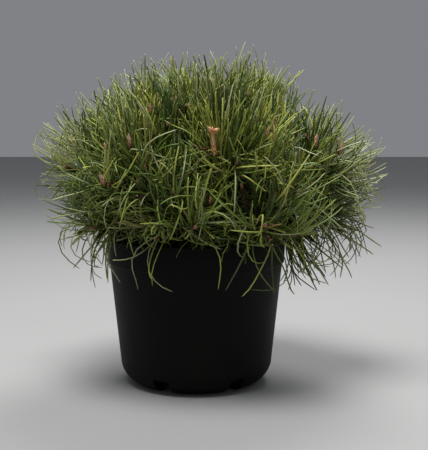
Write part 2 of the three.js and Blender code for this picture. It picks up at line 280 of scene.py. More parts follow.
# %% [markdown]
# Bark splits into small plates as a stem thickens. The mesh carries that relief, and keeps in an attribute
# called `plate` how high each point stands. The finish reads the same attribute, so the dark crevices fall
# exactly where the mesh is low. A young twig is smoother and more orange.


# %% Bark and twig skin
def bark_finish(name, crevice, plate, weathered, grain_size):
    bark = Finish(name, Specular_IOR_Level=0.3)
    raised = bark.attribute("plate").step(0.15, 0.8)
    grain = bark.noise(grain_size, 4, 0.7)
    patches = bark.noise(14, 2).step(0.4, 0.65)
    skin = bark.mixed(patches * 0.7, plate, weathered)
    colour = bark.mixed(raised * (0.45 + 0.55 * grain.step(0.25, 0.6)), crevice, skin)
    return bark.feed(colour, roughness=0.95 - 0.2 * raised * grain, height=grain, depth=0.25)


old_bark = bark_finish("old_bark", paint(38, 27, 21), paint(120, 92, 72), paint(142, 128, 112), 1.4)
twig_skin = bark_finish("twig_skin", paint(42, 28, 19), paint(112, 76, 50), paint(96, 76, 56), 0.8)

# %% [markdown]
# A winter bud is wrapped in papery scales, brown at the foot and paler at the tip, and glued with whitish
# resin, most of it near the top. In spring it stretches into what gardeners call a candle, with thinner and
# lighter scales. Flecks stand for scales that have dried pale. The long candle's colours are partly painted
# light: they are made brighter to make up for the shade it stands in among the needles. The buds' mesh
# tells in `scale_place` how far up the bud each scale sits.


# %% Bud scales
def scaly_finish(name, foot, tip, resin_colour, flecks=0.2):
    skin = Finish(name, Specular_IOR_Level=0.5, Coat_Weight=0.15, Coat_Roughness=0.3)
    up_bud = skin.attribute("scale_place")
    resin = skin.noise(2.6, 2).step(0.44, 0.62) * up_bud.step(0.05, 0.8)
    spots = skin.noise(1.5, 2).step(0.44, 0.58)
    scales = skin.mixed(up_bud * (1 - flecks) + spots * flecks, foot, tip)
    colour = skin.mixed(resin * 0.75, scales, resin_colour)
    return skin.feed(colour, roughness=0.62 - 0.3 * resin, height=skin.noise(0.9, 3, 0.7), depth=0.15)


bud_skin = scaly_finish("bud_scales", paint(112, 66, 44), paint(198, 146, 104), paint(222, 196, 168))
young_skin = scaly_finish(
    "young_candle_scales", paint(150, 88, 62), paint(226, 178, 142), paint(240, 222, 204)
)
# Painted light: the long candle's colours are brightened against the shade it stands in; its side buds share
# them
candle_skin_painted_light = scaly_finish(
    "long_candle_scales", paint(164, 92, 44), paint(255, 208, 146), paint(255, 224, 188), flecks=0.75
)

# %% [markdown]
# Needles are the plant's colour. Those of one spray are of one age and so of one shade: this year's are a
# light yellow-green and older ones deeper, and low sprays are dealt the darker ones as painted shade. Single
# ones hang, are painted pale at the crown's outline as painted rim light, or are dead and tan. Each shade is
# a plain base colour, because a pattern on a thing under two millimetres wide can't be seen.

# %% Needle shades
NEEDLE_SHADES = {
    "fresh_needle": (164, 169, 76),
    "spring_needle": (133, 145, 55),
    "summer_needle": (98, 118, 40),
    # A darker green, dealt mostly to low sprays as painted shade
    "deep_needle": (66, 86, 28),
    # Painted rim light: pale grey-green for needles at the crown's outline, also dealt to some lax ones
    "bloomed_needle": (156, 163, 114),
    "old_needle": (104, 104, 50),
    "dead_needle": (158, 120, 76),
}
needle_skins = [
    Finish(shade, Base_Color=paint(*colour), Roughness=0.5, Specular_IOR_Level=0.55).material
    for shade, colour in NEEDLE_SHADES.items()
]
sheath_skin = Finish("needle_sheath", Base_Color=paint(128, 98, 66), Roughness=0.8).material
print(len(bpy.data.materials), "materials with the frame's own")

# %% [markdown]
# ## Floor
#
# One big pale plane, which isn't part of the plant.

# %% Floor
FLOOR_HALF = 6.0

pale = Finish("pale_floor", Roughness=0.7, Specular_IOR_Level=0.2)
patches = pale.mixed(pale.noise(400, 2), paint(158, 158, 156), paint(164, 164, 163))
corners = [(x * FLOOR_HALF, y * FLOOR_HALF, 0) for x, y in ((-1, -1), (1, -1), (1, 1), (-1, 1))]
floor_mesh = bpy.data.meshes.new("floor")
floor_mesh.from_pydata(corners, [], [(0, 1, 2, 3)])
floor_mesh.materials.append(pale.feed(patches))
floor = put("floor", floor_mesh)
floor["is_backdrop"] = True

# %% [markdown]
# ## Helpers for meshes
#
# Every piece is made in millimetres as arrays of points and faces, and these few lines turn the arrays into
# an object. All pieces belong to one rigid body, because nothing on the plant moves.


# %% From arrays to objects
def add_piece(name, mesh, slot, *stands_for):
    piece = put(name, mesh)
    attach(piece, ROOT)
    if stands_for:
        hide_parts(*stands_for)
    print(f"{name}: {sum(len(face.vertices) - 2 for face in mesh.polygons)} triangles")


def mesh_of(name, points, faces, materials, shade_of_face=None):
    """A smooth mesh from an array of points in millimetres and an array of triangles."""
    mesh = bpy.data.meshes.new(name)
    mesh.from_pydata((points * MM).tolist(), [], faces.tolist())
    for material in materials:
        mesh.materials.append(material)
    if shade_of_face is not None:
        mesh.polygons.foreach_set("material_index", shade_of_face.astype(np.int32))
    mesh.shade_smooth()
    mesh.validate()
    return mesh


def turned_by(vectors, axis, degrees):
    """Vectors turned about an axis of length 1."""
    angle = np.radians(degrees)
    along = axis * np.sum(vectors * axis, axis=-1, keepdims=True)
    cosine, sine = np.cos(angle), np.sin(angle)
    return vectors * cosine + np.cross(axis, vectors) * sine + along * (1 - cosine)


def unit(vectors):
    return vectors / np.linalg.norm(vectors, axis=-1, keepdims=True)


def bow(first, middle, last, share):
    """Points on the curve that leaves `first` towards `middle` and arrives at `last`."""
    share = np.asarray(share, float)[..., None]
    return (1 - share) ** 2 * first + 2 * share * (1 - share) * middle + share**2 * last


# %% [markdown]
# ## Container
#
# A nursery container is one thin moulding that is round, so a profile turned about the middle gives all of
# it. Its edges are eased, since plastic never leaves a mould with a sharp one. The six drain slots are cut
# through the foot afterwards with a Boolean. The sizes are the CAD model's own.

# %% Profile of the container
RIM_RADIUS, POT_WALL = 95, 1.8
COLLAR_HEIGHT, COLLAR_FOOT_RADIUS, COLLAR_STEP = 27, 93.6, 1
WALL_TOP_RADIUS, WALL_FOOT_RADIUS = 91.6, 81
CORNER_HEIGHT = 26
FOOT_RADIUS, FOOT_WIDTH = 56, 4
FLOOR_TOP = 18.5
RECESS_HEIGHT, RECESS_TOP_RADIUS = 15, 72
BOSS_RADIUS = 14
EDGE_EASE, EASE_STEPS = 0.6, 4


def eased(points, ease):
    """The points of a profile with each corner between two others rounded off."""
    points = np.array(points, float)
    smooth = [points[:1]]
    for before, corner, after in zip(points, points[1:], points[2:]):
        ways = [other - corner for other in (before, after)]
        start, end = (corner + way * min(ease / np.linalg.norm(way), 0.45) for way in ways)
        smooth.append(bow(start, corner, end, np.linspace(0, 1, EASE_STEPS)))
    return np.concatenate([*smooth, points[-1:]])


def corner_arc(inset, lowest, steps):
    """The rounded lower corner of the container, moved in by `inset`, from a height up to the wall."""
    tall = CORNER_HEIGHT - inset
    start = np.arccos(min(1, (CORNER_HEIGHT - lowest) / tall))
    angles = np.linspace(start, np.pi / 2, steps)
    radii = FOOT_RADIUS + (WALL_FOOT_RADIUS - FOOT_RADIUS - inset) * np.sin(angles)
    return list(zip(radii, CORNER_HEIGHT - tall * np.cos(angles)))


collar_foot = POT_HEIGHT - COLLAR_HEIGHT
underside = [(BOSS_RADIUS, 0), (BOSS_RADIUS + 1, RECESS_HEIGHT), (RECESS_TOP_RADIUS, RECESS_HEIGHT)]
outside = [
    (FOOT_RADIUS - FOOT_WIDTH, 0),
    *corner_arc(0, 0, 14),
    (WALL_TOP_RADIUS, collar_foot),
    (COLLAR_FOOT_RADIUS, collar_foot + COLLAR_STEP),
    (RIM_RADIUS, POT_HEIGHT),
]
inside = [
    (RIM_RADIUS - POT_WALL, POT_HEIGHT),
    (COLLAR_FOOT_RADIUS - POT_WALL, collar_foot + 2 * COLLAR_STEP),
    (WALL_TOP_RADIUS - POT_WALL, collar_foot + COLLAR_STEP),
    *corner_arc(POT_WALL, FLOOR_TOP, 8)[::-1],
]
profile = eased([(0, 0), *underside, *outside, *inside, (0, FLOOR_TOP)], EDGE_EASE)
print(len(profile), "points in the container's profile")

# %% Turn the profile
POT_SEGMENTS = 144


def join_rings(shape, low, high):
    """A band of faces between two rings of as many points."""
    for k in range(len(low)):
        n = (k + 1) % len(low)
        shape.faces.new((low[k], low[n], high[n], high[k]))


def turned_shell(profile):
    """A closed shape, turned from a profile that begins and ends on the axis."""
    shell = bmesh.new()
    angles = np.arange(POT_SEGMENTS) * 2 * np.pi / POT_SEGMENTS
    rings = [
        [shell.verts.new((r * np.cos(a) * MM, r * np.sin(a) * MM, z * MM)) for a in angles]
        for r, z in profile[1:-1]
    ]
    for low, high in zip(rings, rings[1:]):
        join_rings(shell, low, high)
    for ring, (_, z) in ((rings[0][::-1], profile[0]), (rings[-1], profile[-1])):
        middle = shell.verts.new((0, 0, z * MM))
        for k in range(POT_SEGMENTS):
            shell.faces.new((ring[k], ring[(k + 1) % POT_SEGMENTS], middle))
    return shell


def object_from(name, shape):
    bmesh.ops.recalc_face_normals(shape, faces=shape.faces)
    mesh = bpy.data.meshes.new(name)
    shape.to_mesh(mesh)
    shape.free()
    return put(name, mesh)


def baked_mesh(thing, name):
    """The mesh of an object with its modifiers applied. The object is removed."""
    graph = bpy.context.evaluated_depsgraph_get()
    mesh = bpy.data.meshes.new_from_object(thing.evaluated_get(graph))
    mesh.name = name
    bpy.data.objects.remove(thing)
    return mesh


# %% Cut the drain slots
DRAIN_COUNT, DRAIN_WIDTH, DRAIN_HEIGHT = 6, 18, 16.6
DRAIN_ENDS = (46, RIM_RADIUS + 5)  # distances from the axis, the outer one safely past the wall
FRONT_FOOT_AZIMUTH = -86.7
SLOT_CORNER = 3
SHARP_ANGLE = 40  # degrees between two faces that aren't shaded as one


def add_slot(cutters, azimuth):
    """A bar with rounded upper corners, which lies across the foot at an azimuth."""
    half = DRAIN_WIDTH / 2
    outline = [(-half, -SLOT_CORNER), (-half, DRAIN_HEIGHT), (half, DRAIN_HEIGHT), (half, -SLOT_CORNER)]
    rings = []
    for radius in DRAIN_ENDS:
        ring = np.array([(radius, *spot) for spot in eased(outline, SLOT_CORNER)])
        rings.append([cutters.verts.new(point) for point in turned_by(ring, UP, azimuth) * MM])
    join_rings(cutters, *rings)
    cutters.faces.new(rings[0][::-1])
    cutters.faces.new(rings[1])


blank = object_from("container_blank", turned_shell(profile))
cutters = bmesh.new()
for k in range(DRAIN_COUNT):
    add_slot(cutters, FRONT_FOOT_AZIMUTH + 360 * (k + 0.5) / DRAIN_COUNT)
slots = object_from("slot_cutters", cutters)
cut = blank.modifiers.new("drain_slots", "BOOLEAN")
cut.operation, cut.solver, cut.object = "DIFFERENCE", "EXACT", slots
pot_mesh = baked_mesh(blank, "container")
bpy.data.objects.remove(slots)
pot_mesh.materials.clear()
pot_mesh.materials.append(black_plastic)
pot_mesh.polygons.foreach_set("material_index", [0] * len(pot_mesh.polygons))
pot_mesh.shade_smooth()
pot_mesh.set_sharp_from_angle(angle=np.radians(SHARP_ANGLE))
add_piece("container", pot_mesh, "black_plastic", "pot")

# %% [markdown]
# ## Geometry Nodes in a script
#
# A Geometry Nodes tree repeats a small thing many times, or lays a section along a path. `GrowthTree` makes
# such a tree with named inputs, of which Skin is always the material. They are set by their identifiers on
# a modifier, the result is taken as a plain mesh, and the modifier goes away with the object that bore it.


# %% A tree with named inputs
class GrowthTree(Graph):
    KINDS = {float: "NodeSocketFloat", int: "NodeSocketInt", bpy.types.Material: "NodeSocketMaterial"}

    def __init__(self, name, **inputs):
        super().__init__(bpy.data.node_groups.new(name, "GeometryNodeTree"))
        sockets = self.tree.interface
        for way in ("INPUT", "OUTPUT"):
            sockets.new_socket("Geometry", in_out=way, socket_type="NodeSocketGeometry")
        for label, kind in {**inputs, "Skin": bpy.types.Material}.items():
            sockets.new_socket(label, in_out="INPUT", socket_type=self.KINDS[kind])
        self.source = self.tree.nodes.new("NodeGroupInput")
        self.end = self.tree.nodes.new("NodeGroupOutput")

    def given(self, label):
        return Wire(self, self.source.outputs[label])

    def named(self, name, kind="FLOAT"):
        return self.node("GeometryNodeInputNamedAttribute", {"data_type": kind}, {"Name": name})

    def store(self, geometry, name, value):
        inputs = {"Geometry": geometry, "Name": name, "Value": value}
        return self.node("GeometryNodeStoreNamedAttribute", {"data_type": "FLOAT"}, inputs)

    def random(self, low, high, seed):
        """A random number or vector for each point or copy."""
        kind, suffix = ("FLOAT_VECTOR", "") if isinstance(low, tuple) else ("FLOAT", "_001")
        inputs = {"Min" + suffix: low, "Max" + suffix: high, "Seed": seed}
        return self.node("FunctionNodeRandomValue", {"data_type": kind}, inputs, "Value" + suffix)

    def vector(self, *parts):
        return self.node("ShaderNodeCombineXYZ", inputs=parts)

    def moved(self, geometry, **inputs):
        return self.node("GeometryNodeSetPosition", inputs={"Geometry": geometry, **inputs})

    def resized(self, geometry, scale, shift=(0, 0, 0)):
        inputs = {"Geometry": geometry, "Translation": shift, "Scale": scale}
        return self.node("GeometryNodeTransform", inputs=inputs)

    def copies(self, points, thing, rotation, scale=(1, 1, 1)):
        inputs = {"Points": points, "Instance": thing, "Rotation": rotation, "Scale": scale}
        return self.node("GeometryNodeInstanceOnPoints", inputs=inputs)

    def close(self, geometry):
        """Realizes the instances, sets the material and joins the result to the tree's output."""
        real = self.node("GeometryNodeRealizeInstances", inputs=[geometry])
        inputs = {"Geometry": real, "Material": self.given("Skin")}
        painted = self.node("GeometryNodeSetMaterial", inputs=inputs)
        self.tree.links.new(painted.socket, self.end.inputs[0])

    def grow(self, carrier, name, **values):
        """Runs the tree on an object and returns the plain mesh. The object is removed."""
        modifier = carrier.modifiers.new(name, "NODES")
        modifier.node_group = self.tree
        for item in self.tree.interface.items_tree:
            if item.in_out == "INPUT" and item.name in values:
                modifier[item.identifier] = values[item.name]
        return baked_mesh(carrier, name)


def carrier_of(points, edges=(), **attributes):
    """An object made of bare points and edges, in millimetres, that carries named values for a tree."""
    mesh = bpy.data.meshes.new("carrier")
    mesh.from_pydata((np.asarray(points) * MM).tolist(), edges, [])
    for name, values in attributes.items():
        values = np.asarray(values, np.float32)
        kind, field = ("FLOAT", "value") if values.ndim == 1 else ("FLOAT_VECTOR", "vector")
        mesh.attributes.new(name, kind, "POINT").data.foreach_set(field, values.ravel())
    return put("carrier", mesh)


# %% [markdown]
# ## Compost
#
# The surface of the compost is a disc that rises slightly round the trunk and has been watered into lumps,
# so a grid of rings is raised by layered waves. Then crumbs of peat and chips of bark are scattered over it,
# half sunk, each with its own turn and size.

# %% Lumpy surface
COMPOST_EDGE, COMPOST_MIDDLE = 139, 141  # heights
COMPOST_MOUND_RADIUS, COMPOST_RADIUS = 26, 92.0
COMPOST_SKIRT = 6
EDGE_FADE = 4
LUMP, LUMP_DEPTH = 0.9, 0.45
WAVES = 40
RINGS, AROUND = 56, 132

rng = np.random.default_rng(4)
waves = rng.normal(size=(WAVES, 2)) * np.linspace(0.05, 0.55, WAVES)[:, None]
phases = rng.uniform(0, 2 * np.pi, WAVES)
strengths = LUMP / np.linspace(1, 5, WAVES) ** 0.8


def on_compost(radius, angle):
    """Points on the compost's surface, in millimetres."""
    x, y = radius * np.cos(angle), radius * np.sin(angle)
    share = np.clip((radius - COMPOST_MOUND_RADIUS) / (COMPOST_RADIUS - COMPOST_MOUND_RADIUS), 0, 1)
    lumps = sum(s * np.sin(x * wx + y * wy + p) for (wx, wy), p, s in zip(waves, phases, strengths))
    fade = np.clip((COMPOST_RADIUS - radius) / EDGE_FADE, 0, 1)
    level = COMPOST_MIDDLE + (COMPOST_EDGE - COMPOST_MIDDLE) * share
    return np.stack([x, y, level + LUMP_DEPTH * lumps * fade], -1)


def ring_faces(rings, sides):
    """Triangles between successive rings of points, facing out when the rings run anticlockwise."""
    ring, k = np.meshgrid(np.arange(rings - 1), np.arange(sides), indexing="ij")
    low, turn = ring * sides, (k + 1) % sides
    quads = np.stack([low + k, low + turn, low + sides + turn, low + sides + k], -1).reshape(-1, 4)
    return np.concatenate([quads[:, [0, 1, 2]], quads[:, [0, 2, 3]]])


radii = COMPOST_RADIUS * (1 - np.linspace(0, 0.995, RINGS)) ** 0.8
ends = np.arange(AROUND)
surface = on_compost(radii[:, None], ends * 2 * np.pi / AROUND)
skirt = surface[0] - UP * COMPOST_SKIRT
poles = [on_compost(0.0, 0.0), UP * (COMPOST_EDGE - COMPOST_SKIRT)]
points = np.concatenate([skirt, *surface, poles])
after, last, middle = (ends + 1) % AROUND, RINGS * AROUND, len(points) - 2
lid = np.stack([last + ends, last + after, np.full(AROUND, middle)], -1)
base = np.stack([after, ends, np.full(AROUND, middle + 1)], -1)
faces = np.concatenate([ring_faces(RINGS + 1, AROUND), lid, base])
add_piece("compost_surface", mesh_of("compost_surface", points, faces, [peat_compost]), "compost", "compost")

# %% Crumbs and chips
KNOB = 0.12  # how far a pebble's corners are pushed, of its size
PEBBLE_WIDTH = 0.7
SMALLEST = 0.4

litter = GrowthTree("litter", Size=float, Flatness=float, Seed=int)
seed = litter.given("Seed")
pebble = litter.node("GeometryNodeMeshIcoSphere", inputs={"Radius": 0.5, "Subdivisions": 1})
pebble = litter.moved(pebble, Offset=litter.random((-KNOB,) * 3, (KNOB,) * 3, seed + 5))
pebble = litter.resized(pebble, litter.vector(1.0, PEBBLE_WIDTH, litter.given("Flatness")))
spin = litter.random((-0.5, -0.5, 0), (0.5, 0.5, 6.28), seed + 1)
size = litter.given("Size") * litter.random(SMALLEST, 1.0, seed + 2)
litter.close(litter.copies(litter.given("Geometry"), pebble, spin, size))


def scatter(name, count, size, flatness, skin, seed):
    draw = np.random.default_rng(seed)
    radius = (COMPOST_RADIUS - size * 0.6) * np.sqrt(draw.uniform(0, 1, count))
    carrier = carrier_of(on_compost(radius, draw.uniform(0, 2 * np.pi, count)))
    mesh = litter.grow(carrier, name, Size=size * MM, Flatness=flatness, Seed=seed, Skin=skin)
    mesh.shade_flat()
    add_piece(name, mesh, "compost")


scatter("peat_crumbs", 1500, 3.4, 0.7, peat_compost, 11)
scatter("bark_chips", 170, 9.0, 0.28, bark_chip, 12)

# %% [markdown]
# ## How the pine branches
#
# These are the same rules and numbers as in the CAD model: a trunk that bends a little, three whorls of
# boughs, and on each bough a mass of foliage with a leader and five side shoots. A mass's number seeds its
# draws by a short formula, so the shoots here leave in the same directions as the CAD model's.

# %% Trunk line
TRUNK_FOOT, TRUNK_TIP = 141.3, 226
TRUNK_START = TRUNK_FOOT - 6
TRUNK_BEND = 3
TRUNK_RADIUS, TRUNK_TIP_RADIUS = 12, 5.4
FLARE_RADIUS, FLARE_SHARE = 18, 0.2

trunk_height = TRUNK_TIP - TRUNK_START
sways = [(0, 0), (TRUNK_BEND, -TRUNK_BEND / 2), (-TRUNK_BEND, TRUNK_BEND / 2), (TRUNK_BEND, 0)]
trunk_marks = np.column_stack([sways, np.linspace(TRUNK_START, TRUNK_TIP, len(sways))])


def trunk_point(height):
    """The middle of the trunk at a height: a smooth line through the four marks."""
    before, after = 2 * trunk_marks[0] - trunk_marks[1], 2 * trunk_marks[-1] - trunk_marks[-2]
    place = np.clip((height - TRUNK_START) / trunk_height, 0, 1) * 3
    k = min(int(place), 2)
    t = place - k
    a, b, c, d = np.array([before, *trunk_marks, after])[k : k + 4]
    return (2 * b + (c - a) * t + (2 * a - 5 * b + 4 * c - d) * t**2 + (3 * b - a - 3 * c + d) * t**3) / 2


def trunk_radius(share):
    flare = np.maximum(0, 1 - share / FLARE_SHARE) ** 2
    shaft = TRUNK_RADIUS + (TRUNK_TIP_RADIUS - TRUNK_RADIUS) * share
    return shaft + (FLARE_RADIUS - TRUNK_RADIUS) * flare


# %% Boughs
# Each whorl's height on the trunk, the radius of its boughs and how far its shoots lift
WHORLS = {"low": (166, 4.3, 0.2), "mid": (192, 3.9, 0.5), "high": (212, 3.5, 0.35)}
# The azimuth, the rise and the reach of each of its boughs
BOUGHS = {
    "low": [(4, 6, 74), (50, 7, 56), (98, 6, 41), (148, 7, 42), (204, 8, 44), (260, 9, 40), (308, 12, 56)],
    "mid": [(-3, 13, 82), (57, 24, 48), (117, 24, 46), (176, 12, 53), (236, 23, 47), (297, 23, 50)],
    "high": [(20, 45, 40), (110, 50, 28), (198, 46, 26), (284, 48, 28)],
}
WHORL_STAGGER = 8
BOUGH_SAG = 2.5
CLEAR = 0.3  # from a bough's tip to the foot of its mass in the CAD model
STEM_LENGTH, CORE_DEPTH = 7, 26


def direction_of(azimuth, rise):
    azimuth, rise = np.radians(azimuth), np.radians(rise)
    level = np.cos(rise)
    return np.array([level * np.cos(azimuth), level * np.sin(azimuth), np.sin(rise)])


masses = []
for whorl, (height, radius, lift) in WHORLS.items():
    for k, (azimuth, rise, reach) in enumerate(BOUGHS[whorl]):
        root = trunk_point(height + WHORL_STAGGER * (k % 2))
        tip = root + direction_of(azimuth, rise) * reach
        middle = (root + tip) / 2 - UP * BOUGH_SAG
        heading = unit(tip - middle)
        centre = tip + heading * CLEAR + heading * (STEM_LENGTH + CORE_DEPTH)
        mass = {"number": len(masses), "name": f"{whorl}_{k + 1}", "whorl": whorl, "bough_radius": radius}
        mass |= {"bough": (root, middle, tip), "rise": rise, "reach": reach, "lift": lift}
        masses.append({**mass, "heading": heading, "centre": centre})
centres = np.array([mass["centre"] for mass in masses])
print(len(masses), "boughs, each with its mass of foliage")

# %% Shoots of a mass
SIDE_SHOOTS = 5
SHOOT_LENGTH, SHOOT_SPREAD = 57, 44
LENGTH_VARIATION, SPREAD_VARIATION, TURN_VARIATION = 0.16, 10, 24
MODULUS = 2147483647


def seeded(seed):
    state = (seed * 7919 + 101) % MODULUS
    while True:
        state = state * 48271 % MODULUS
        yield state / MODULUS


def shoots_of(mass):
    """The tip of each shoot of a mass, leader first, by the CAD model's rule."""
    draw = seeded(mass["number"] + 1)

    def varied(value, spread):
        return value + spread * (next(draw) - 0.5)

    outward = unit(mass["heading"] + UP * mass["lift"])
    across = unit(np.cross(UP, outward))
    first_turn = 360 * next(draw)
    tips = []
    for k in range(SIDE_SHOOTS + 1):
        spread = 0 if k == 0 else varied(SHOOT_SPREAD, SPREAD_VARIATION)
        turn = varied(first_turn + 360 * k / SIDE_SHOOTS, TURN_VARIATION)
        length = varied(SHOOT_LENGTH, SHOOT_LENGTH * LENGTH_VARIATION)
        way = turned_by(turned_by(outward, across, spread), outward, turn)
        tips.append(mass["centre"] + way * length)
    return tips


# %% [markdown]
# ## Limbs
#
# Trunk, boughs, stems, shoots and side twigs are all tapering limbs, so one Geometry Nodes tree makes them
# all. It lays a round section along each line, then pushes the skin out where a plate of bark stands. The
# cell pattern that does it is measured along and around the limb, so plates are longer than they are wide.

# %% The limb tree
PLATE_STRETCH = 0.55

limbs = GrowthTree("limbs", Sides=int, Spacing=float, Plate=float, Relief=float)
line = limbs.node("GeometryNodeMeshToCurve", inputs=[limbs.given("Geometry")])
spacing = {"Curve": line, "Length": limbs.given("Spacing")}
line = limbs.node("GeometryNodeResampleCurve", {"mode": "LENGTH"}, spacing)
line = limbs.store(line, "along", limbs.node("GeometryNodeSplineParameter", output="Length"))
section = limbs.node("GeometryNodeCurvePrimitiveCircle", inputs={"Resolution": limbs.given("Sides")})
section = limbs.store(section, "around", limbs.node("GeometryNodeSplineParameter", output="Factor"))
radius = limbs.named("limb_radius")
sweep = {"Curve": line, "Profile Curve": section, "Scale": radius, "Fill Caps": True}
skin = limbs.node("GeometryNodeCurveToMesh", inputs=sweep)
across, aside = (limbs.named("around") * (2 * np.pi)).circle()
far = limbs.named("along") * PLATE_STRETCH
unrolled = limbs.vector(across * radius + limbs.named("limb_number"), aside * radius, far)
pattern = {"Vector": unrolled, "Scale": 1 / limbs.given("Plate"), "Randomness": 0.85}
cells = limbs.node("ShaderNodeTexVoronoi", {"feature": "DISTANCE_TO_EDGE"}, pattern)
worn = limbs.node("ShaderNodeTexNoise", inputs={"Vector": unrolled, "Scale": 3 / limbs.given("Plate")})
skin = limbs.store(skin, "plate", cells.step(0.02, 0.22) * (0.6 + 0.6 * worn))
relief = (limbs.named("plate") - 0.5) * limbs.given("Relief")
push = {0: limbs.node("GeometryNodeInputNormal"), "Scale": relief}
limbs.close(limbs.moved(skin, Offset=limbs.node("ShaderNodeVectorMath", {"operation": "SCALE"}, push)))


def add_limbs(name, lines, skin, sides, spacing, plate, relief, *stands_for):
    """One piece for many limbs. Each line is a pair of arrays: points, and the radius at each point."""
    points, radii = (np.concatenate(part) for part in zip(*lines))
    numbers = np.concatenate([np.full(len(line), k * 0.1) for k, (line, _) in enumerate(lines)])
    starts = np.cumsum([0] + [len(line) for line, _ in lines]).tolist()
    edges = [(i, i + 1) for a, b in zip(starts, starts[1:]) for i in range(a, b - 1)]
    carrier = carrier_of(points, edges, limb_radius=radii * MM, limb_number=numbers)
    sizes = {"Spacing": spacing * MM, "Plate": plate * MM, "Relief": relief * MM}
    mesh = limbs.grow(carrier, name, Sides=sides, Skin=skin, **sizes)
    mesh.shade_smooth()
    add_piece(name, mesh, "bark", *stands_for)


# %% Trunk and boughs
BOUGH_TIP_SHARE = 0.7
COLLAR_SWELL, COLLAR_LENGTH = 0.35, 0.25  # where a bough leaves the trunk, of its radius and its length
BOUGH_POINTS = np.linspace(0, 1, 16)

heights = np.linspace(TRUNK_FOOT - 2, TRUNK_TIP, 40)
trunk_line = np.array([trunk_point(height) for height in heights])
trunk_radii = trunk_radius((heights - TRUNK_START) / trunk_height)
add_limbs("trunk_bark", [(trunk_line, trunk_radii)], old_bark, 56, 1.0, 4.2, 1.5, "trunk")

collar = 1 + COLLAR_SWELL * np.maximum(0, 1 - BOUGH_POINTS / COLLAR_LENGTH) ** 2
taper = (1 + (BOUGH_TIP_SHARE - 1) * BOUGH_POINTS) * collar
bough_lines = [(bow(*mass["bough"], BOUGH_POINTS), mass["bough_radius"] * taper) for mass in masses]
bough_names = [f"bough_{mass['name']}" for mass in masses]
add_limbs("bough_bark", bough_lines, old_bark, 22, 1.1, 2.8, 0.8, *bough_names)

# %% [markdown]
# ## Shoots and side twigs
#
# The CAD model stops at the shoots. Here each shoot carries side twigs too, and the heart of each mass has
# short inner twigs, all spaced by the golden angle as buds are on a real shoot. So the foliage closes
# without reaching further. A limb that carries needles is called a spray.
#
# The steeper a bough rises, the more the ends of its shoots turn up to the light. Some shoots end in a
# candle, which stands nearly upright, and one long shoot in front has lost all but its last needles.

# %% Sprays
GOLDEN_ANGLE = 137.508
SHOOT_BUD, LEADER_BUD, TWIG_BUD = 6.0, 11.0, 3.6  # lengths
STEM_RADIUS, SHOOT_RADIUS, TWIG_RADIUS = 2.7, 2.2, 1.5
END_BEND = 0.45  # of a spray's length, over which it turns to its end's direction
TWIG_MARGIN = -8  # how far a twig's tip may pass into the next mass's space
TWIG_SHARES = np.linspace(0.15, 0.6, 3)  # where side twigs leave a shoot
TWIG_LENGTH = 0.36  # of its shoot's length
TWIG_LEAN = 42
SHOOT_TURN = 70  # degrees from the twigs of one shoot to those of the next
INNER_TWIGS, INNER_LEAN, INNER_LENGTH = 12, 82, 34
INNER_START = 0.6  # of the core's depth, back from the centre

sprays = []


def add_spray(mass, root, tip, end_way, radius, seed, **more):
    """A limb that leaves `root` and arrives at `tip` in the direction `end_way`."""
    length = float(np.linalg.norm(tip - root))
    line = (root, tip - unit(end_way) * length * END_BEND, tip)
    spray = {"mass": mass, "line": line, "length": length, "radius": radius, "bud": 0.0, "bare": False}
    sprays.append({**spray, "in_photo": False, "rng": np.random.default_rng(seed), **more})
    return sprays[-1]


def add_twig(mass, start, end, end_way, seed, **more):
    """A twig with needles, unless its tip would be too far in another mass's space."""
    own, others = mass["centre"], np.delete(centres, mass["number"], axis=0)
    nearer = np.sum((end - others) ** 2, axis=-1) - np.sum((end - own) ** 2)
    if np.all(nearer / (2 * np.linalg.norm(others - own, axis=-1)) > TWIG_MARGIN):
        add_spray(mass, start, end, end_way, TWIG_RADIUS, seed, **more)


def add_side_twigs(shoot, k, way, length, up):
    mass, rng = shoot["mass"], shoot["rng"]
    side = unit(np.cross(way, UP))
    for j, share in enumerate(TWIG_SHARES):
        start = bow(*shoot["line"], share)
        lean = turned_by(side, way, GOLDEN_ANGLE * j + rng.uniform(-15, 15) + SHOOT_TURN * k)
        leave = unit(way + lean * np.tan(np.radians(TWIG_LEAN + rng.uniform(-8, 8))))
        end = start + leave * length * TWIG_LENGTH * rng.uniform(0.8, 1.15)
        add_twig(mass, start, end, leave + up, mass["number"] * 100 + k * 10 + j + 5000, bud=TWIG_BUD)


def add_inner_twigs(mass, up):
    heading, rng = mass["heading"], np.random.default_rng(mass["number"] + 900)
    side = unit(np.cross(heading, UP))
    start = mass["centre"] - heading * CORE_DEPTH * INNER_START
    for j in range(INNER_TWIGS):
        lean = turned_by(side, heading, GOLDEN_ANGLE * j + rng.uniform(-20, 20))
        leave = turned_by(heading, np.cross(heading, lean), INNER_LEAN + rng.uniform(-12, 8))
        end = start + leave * INNER_LENGTH * rng.uniform(0.8, 1.2)
        add_twig(mass, start, end, leave + up * 0.5, mass["number"] * 100 + j + 9000)


# %% Shoots with their twigs
# The candles that the photograph shows, by mass and shoot, with their lengths
CANDLES = {
    ("mid_6", 2): 27, ("mid_6", 5): 13, ("mid_5", 0): 14, ("mid_5", 2): 12, ("mid_5", 3): 11,
    ("mid_5", 4): 14, ("mid_1", 0): 15, ("mid_1", 1): 16, ("high_3", 2): 10, ("low_6", 1): 9,
}
CANDLE_ASIDE = {("mid_6", 2): np.array([7.5, 0.0, 1.5])}  # how far this one has grown past its shoot
CANDLE_SEEKING = 2
BARE_SHOOTS = {("low_7", 2)}  # with needles at the tip alone
LEVEL_RISE = 6  # degrees; the shoots of such a bough stay level
LIGHT_SEEKING = 1 / 17  # for each degree that a bough rises more, how far the ends of its shoots turn up
FRONT_MASSES, FRONT_SEEKING = ("low_6", "low_7"), 0.4  # these turn up by so much more

